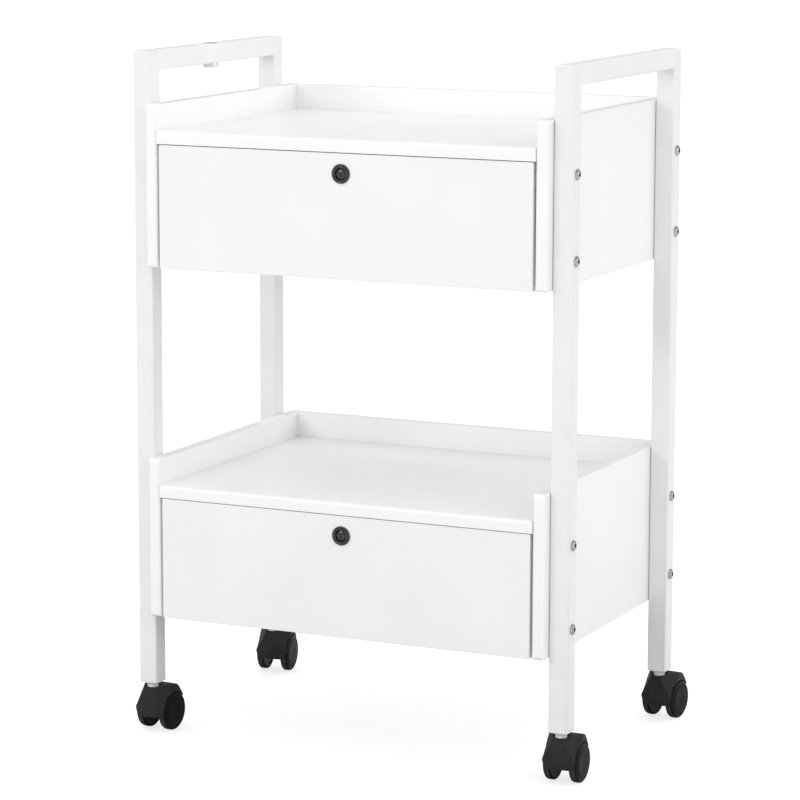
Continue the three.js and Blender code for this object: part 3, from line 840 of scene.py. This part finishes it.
# ---------------------------------------------------------------- casters


def caster_place(name):
    """The caster's own frame: its stem's foot on the floor, and its wheels on the +Y side."""
    stem_lo, stem_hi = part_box(name + "_stem")
    left_lo, left_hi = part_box(name + "_wheel_left")
    right_lo, right_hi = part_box(name + "_wheel_right")
    stem = (stem_lo + stem_hi) / 2
    wheels = (left_lo + left_hi + right_lo + right_hi) / 4
    yaw = Vector((wheels.x - stem.x, wheels.y - stem.y)).angle_signed(Vector((0, 1)))
    return Matrix.Translation((stem.x, stem.y, 0)) @ Matrix.Rotation(yaw, 4, "Z")


def hood_outline():
    """The hood's side view as (behind the stem, above the floor)."""
    away = Vector((cos(FENDER_END), sin(FENDER_END)))
    end = AXLE + away * FENDER_RADIUS
    crown = Vector((CASTER_TRAIL, HOOD_TOP))
    front = [
        (HOOD_FRONT, HOOD_SKIRT), (HOOD_FRONT, HOOD_BEND),
        (HOOD_FRONT + HOOD_LEAN, HOOD_TOP - HOOD_SHOULDER),
        (HOOD_FRONT + 2 * HOOD_LEAN, HOOD_TOP), tuple(crown),
    ]
    over = crown + Vector((HOOD_CROWN, 0))
    along = end + Vector((-away.y, away.x)) * HOOD_CROWN
    boss = arc(AXLE, AXLE_BOSS_RADIUS, FENDER_END, -pi / 2, 16)
    return front + curve(crown, over, along, end, 18) + boss


def hood_plan(inset):
    """The hood seen from above: a bulging front, and sides that draw in behind the axle."""
    half, back_half = HOOD_HALF_WIDTH - inset, HOOD_BACK_HALF_WIDTH - inset
    radius = HOOD_BULGE_RADIUS - inset
    corner = asin(half / radius)
    centre = (0, HOOD_FRONT + HOOD_BULGE_RADIUS)
    back = CASTER_TRAIL + FENDER_RADIUS + PAST
    return arc(centre, radius, -pi / 2 - corner, -pi / 2 + corner, 28) + [
        (half, CASTER_TRAIL), (back_half, back), (-back_half, back), (-half, CASTER_TRAIL)
    ]


def hood_envelope():
    """The plan stood up to the hood's top, its foot tucked in along a quarter of an ellipse."""
    bm = bmesh.new()
    tuck, height = HOOD_TUCK
    steps = 8
    angles = [pi / 2 * i / steps for i in range(steps + 1)]
    levels = [(tuck * (1 - sin(t)), HOOD_SKIRT + height * (1 - cos(t))) for t in angles]
    levels.append((0, HOOD_TOP + PAST))
    rings = [[bm.verts.new((x, y, z)) for x, y in hood_plan(inset)] for inset, z in levels]
    return skin(bm, rings)


def hood_mesh():
    """The hood in a caster's own frame: the side view swept across, bulging in front, cut to
    facets at its front corners, arched over each wheel and dished under the post."""
    half = HOOD_HALF_WIDTH
    bm = bmesh.new()
    face = bm.faces.new([bm.verts.new((-half, y, z)) for y, z in hood_outline()])
    bm = combine("INTERSECT", sweep(bm, [face], (2 * half, 0, 0)), hood_envelope())
    for sign in SIDES.values():
        top, low, rear = (Vector((sign * x, y, z)) * MM for x, y, z in HOOD_FACET)
        normal = (low - top).cross(rear - top)
        if normal.z < 0:
            normal.negate()
        done = bmesh.ops.bisect_plane(
            bm, geom=bm.verts[:] + bm.edges[:] + bm.faces[:], plane_co=top, plane_no=normal,
            clear_outer=True,
        )
        rim = [e for e in done["geom_cut"] if isinstance(e, bmesh.types.BMEdge)]
        bmesh.ops.contextual_create(bm, geom=rim)
    tools = [
        rod(ARCH_RADIUS, (sign * SPINE_HALF, *AXLE), (sign * (half + PAST), *AXLE), 96)
        for sign in SIDES.values()
    ]
    floor_radius, top_radius = HOOD_DISH_RADII
    above = HOOD_TOP + (HOOD_TOP - HOOD_DISH_FLOOR)
    dish = [
        (0, HOOD_DISH_FLOOR), (floor_radius, HOOD_DISH_FLOOR), (top_radius, HOOD_TOP),
        (top_radius + 1.2 * MM, above), (0, above),
    ]
    tools.append(lathe(dish, Matrix.Identity(4), 64))
    return cut(bm, *tools)


def wheel_mesh(sign):
    """One wheel about X, its disc facing outwards."""
    points = rounded([(r * MM, h * MM) for r, h in WHEEL_PROFILE], WHEEL_EDGE, 4)
    place = (
        Matrix.Translation((sign * WHEEL_OFFSET, CASTER_TRAIL, WHEEL_RADIUS))
        @ Matrix.Rotation(sign * pi / 2, 4, "Y")
    )
    bm = lathe(points, place, 96)
    for face in bm.faces:
        middle = face.calc_center_median() - Vector((0, CASTER_TRAIL, WHEEL_RADIUS))
        face.material_index = 1 if Vector((middle.y, middle.z)).length > TREAD_FROM else 0
    return bm


def foot_mesh():
    """The post's foot: a cap that narrows to the collar under it, and the plug inside the tube."""
    bm = bmesh.new()
    sides = 48
    rings = [
        ring_of_square(bm, half * MM, corner * MM, z * MM, sides)
        for half, z, corner in FOOT_SQUARES
    ]
    rings += [circle(bm, radius * MM, z * MM, sides) for radius, z in FOOT_ROUNDS]
    return skin(bm, rings)


def ring_of_square(bm, half, corner, z, sides):
    """Vertices around a rounded square, evenly by angle."""
    made = []
    for i in range(sides):
        angle = tau * i / sides
        c, s = cos(angle), sin(angle)
        reach = half / max(abs(c), abs(s))
        x, y = c * reach, s * reach
        core = half - corner
        if abs(x) > core and abs(y) > core:
            centre = Vector((core if x > 0 else -core, core if y > 0 else -core))
            away = (Vector((x, y)) - centre).normalized() * corner
            x, y = centre + away
        made.append(bm.verts.new((x, y, z)))
    return made


def casters():
    hood = hood_mesh()
    pin_radius, pin_low, pin_high = STEM_PIN
    shaft_radius, shaft_half = AXLE_PIN
    for name in CASTERS:
        place = caster_place(name)
        body = name + "_caster"
        bm = hood.copy()
        bm.transform(place)
        made = add(name + "_hood", bm, "black_nylon", body, [name + "_housing"])
        soften(made, HOOD_EDGE, 3, angle=24)
        for side, sign in SIDES.items():
            node = f"{name}_wheel_{side}"
            bm = wheel_mesh(sign)
            bm.transform(place)
            add(node + "_finish", bm, "wheel_nylon", node, [node], ("tread",), sharp=40)
        bm = foot_mesh()
        bm.transform(Matrix.Translation(place.translation))
        add(name + "_foot", bm, "post_insert", "root", [name + "_insert"], sharp=40)
        pin = rod(pin_radius, (0, 0, pin_low), (0, 0, pin_high))
        pin.transform(place)
        made = add(name + "_stem_finish", pin, "zinc_plate", body, [name + "_stem"])
        soften(made, STEM_PIN_EDGE, 2)
        shaft = rod(shaft_radius, (-shaft_half, *AXLE), (shaft_half, *AXLE))
        shaft.transform(place)
        made = add(name + "_axle_finish", shaft, "zinc_plate", body, [name + "_axle"])
        soften(made, AXLE_PIN_EDGE, 2)
    hood.free()


# ---------------------------------------------------------------- drawer slides


def slides():
    """The slide members keep their CAD shape."""
    for node, obj in frame["nodes"].items():
        if "_runner_" in node:
            obj.data.materials.clear()
            obj.data.materials.append(MATERIALS["zinc_plate"])


# ---------------------------------------------------------------- stage


def camera():
    lo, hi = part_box("left_frame")
    middle = Vector((0, (lo.y + hi.y) / 2, 0))
    a, e, r = CAMERA_AZIMUTH, CAMERA_ELEVATION, CAMERA_ROLL
    back = Vector((sin(a) * cos(e), -cos(a) * cos(e), sin(e)))
    level = Vector((cos(a), sin(a), 0))
    up = back.cross(level)
    right, above = level * cos(r) + up * sin(r), up * cos(r) - level * sin(r)
    data = bpy.data.cameras.new("camera")
    data.lens, data.sensor_width = CAMERA_LENS, CAMERA_SENSOR
    data.clip_end = CAMERA_REACH
    obj = bpy.data.objects.new("camera", data)
    bpy.context.scene.collection.objects.link(obj)
    obj.matrix_world = Matrix.Translation(middle + CAMERA_OFFSET) @ Matrix(
        (right, above, back)
    ).transposed().to_4x4()
    bpy.context.scene.camera = obj


def softbox(name, place, target, size, power, reflected=True):
    data = bpy.data.lights.new(name, "AREA")
    data.shape, data.size, data.size_y, data.energy = "RECTANGLE", size[0], size[1], power
    obj = bpy.data.objects.new(name, data)
    bpy.context.scene.collection.objects.link(obj)
    obj.visible_camera = False
    obj.visible_glossy = reflected
    obj.location = place
    obj.rotation_euler = (Vector(target) - Vector(place)).to_track_quat("-Z", "Y").to_euler()


def floor():
    """White to the camera, and a soft grey to the light that it throws back up, painted darker
    under the trolley as its shadow.
    """
    bm = bmesh.new()
    bmesh.ops.create_grid(bm, x_segments=1, y_segments=1, size=30)
    mesh = bpy.data.meshes.new("floor")
    bm.to_mesh(mesh)
    bm.free()
    s = Shader("floor", Roughness=0.8)
    seen = s.node("ShaderNodeLightPath").outputs["Is Camera Ray"]
    away = s.node("ShaderNodeVectorMath", operation="LENGTH")
    s.join(s.place, away.inputs[0])
    shade = s.node("ShaderNodeMapRange")
    shade.inputs["To Max"].default_value = FLOOR_SEEN
    s.join(seen, shade.inputs["Value"])
    # Painted shadow: the floor throws back less light near the trolley's middle.
    s.join(s.ramp(away.outputs["Value"], *FLOOR_BOUNCE_PAINTED_SHADE, *FLOOR_SHADE_FADE), shade.inputs["To Min"])
    s.colour(shade.outputs["Result"])
    s.surface.inputs["Emission Color"].default_value = (1, 1, 1, 1)
    s.join(s.ramp(seen, 0.0, FLOOR_GLOW, 0.0, 1.0), s.surface.inputs["Emission Strength"])
    mesh.materials.append(s.material)
    obj = bpy.data.objects.new("floor", mesh)
    bpy.context.scene.collection.objects.link(obj)


def studio():
    scene = bpy.context.scene
    scene.view_settings.view_transform = "Standard"
    world = bpy.data.worlds.new("studio")
    scene.world = world
    world.use_nodes = True
    tree = world.node_tree
    background = tree.nodes["Background"]
    background.inputs["Color"].default_value = (1, 1, 1, 1)
    path = tree.nodes.new("ShaderNodeLightPath")
    strength = None
    for ray, value in (("Is Glossy Ray", WORLD_REFLECTED), ("Is Camera Ray", WORLD_SEEN)):
        made = tree.nodes.new("ShaderNodeMapRange")
        made.inputs["To Min"].default_value = WORLD_LIGHT
        made.inputs["To Max"].default_value = value
        tree.links.new(path.outputs[ray], made.inputs["Value"])
        if strength:
            tree.links.new(strength, made.inputs["To Min"])
        strength = made.outputs["Result"]
    tree.links.new(strength, background.inputs["Strength"])
    softbox("key", (-1.7, -3.8, 1.9), (0, 0, 0.5), (1.1, 0.9), 24)
    softbox("fill", (3.4, -1.6, 1.6), (0, 0, 0.5), (1.8, 1.8), 13)
    softbox("side", (3.0, 1.6, 1.3), (0, 0, 0.5), (1.5, 1.5), 8)
    softbox("back", (0, 3.0, 2.0), (0, 0, 0.5), (2.4, 1.0), 15, reflected=False)


camera()
studio()
floor()
cabinets()
drawers()
side_frames()
lamp_socket()
bolts()
for level in LEVELS:
    lock(level)
casters()
slides()
